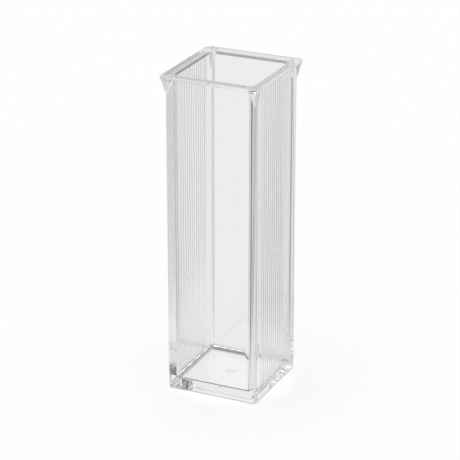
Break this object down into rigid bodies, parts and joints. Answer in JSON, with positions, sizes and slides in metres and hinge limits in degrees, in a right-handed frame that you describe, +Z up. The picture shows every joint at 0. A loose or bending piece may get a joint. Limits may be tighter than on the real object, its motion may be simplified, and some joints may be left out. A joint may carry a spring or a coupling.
{
  "type": "cuvette",
  "caption": "Square clear plastic cuvette with plain walls for a light beam, finely ribbed walls to hold it by and a flared rim, for holding a liquid sample.",
  "frame": {"origin": "middle of the base, on the surface it stands on", "axes": "+Z up out of the mouth, X through the two ribbed walls, Y through the two clear walls along the light beam"},
  "size_m": [0.0136, 0.0142, 0.0423],
  "materials": {
    "clear_plastic": "clear polished plastic"
  },
  "bodies": {
    "root": {"cuvette_body": "clear_plastic"}
  },
  "joints": []
}
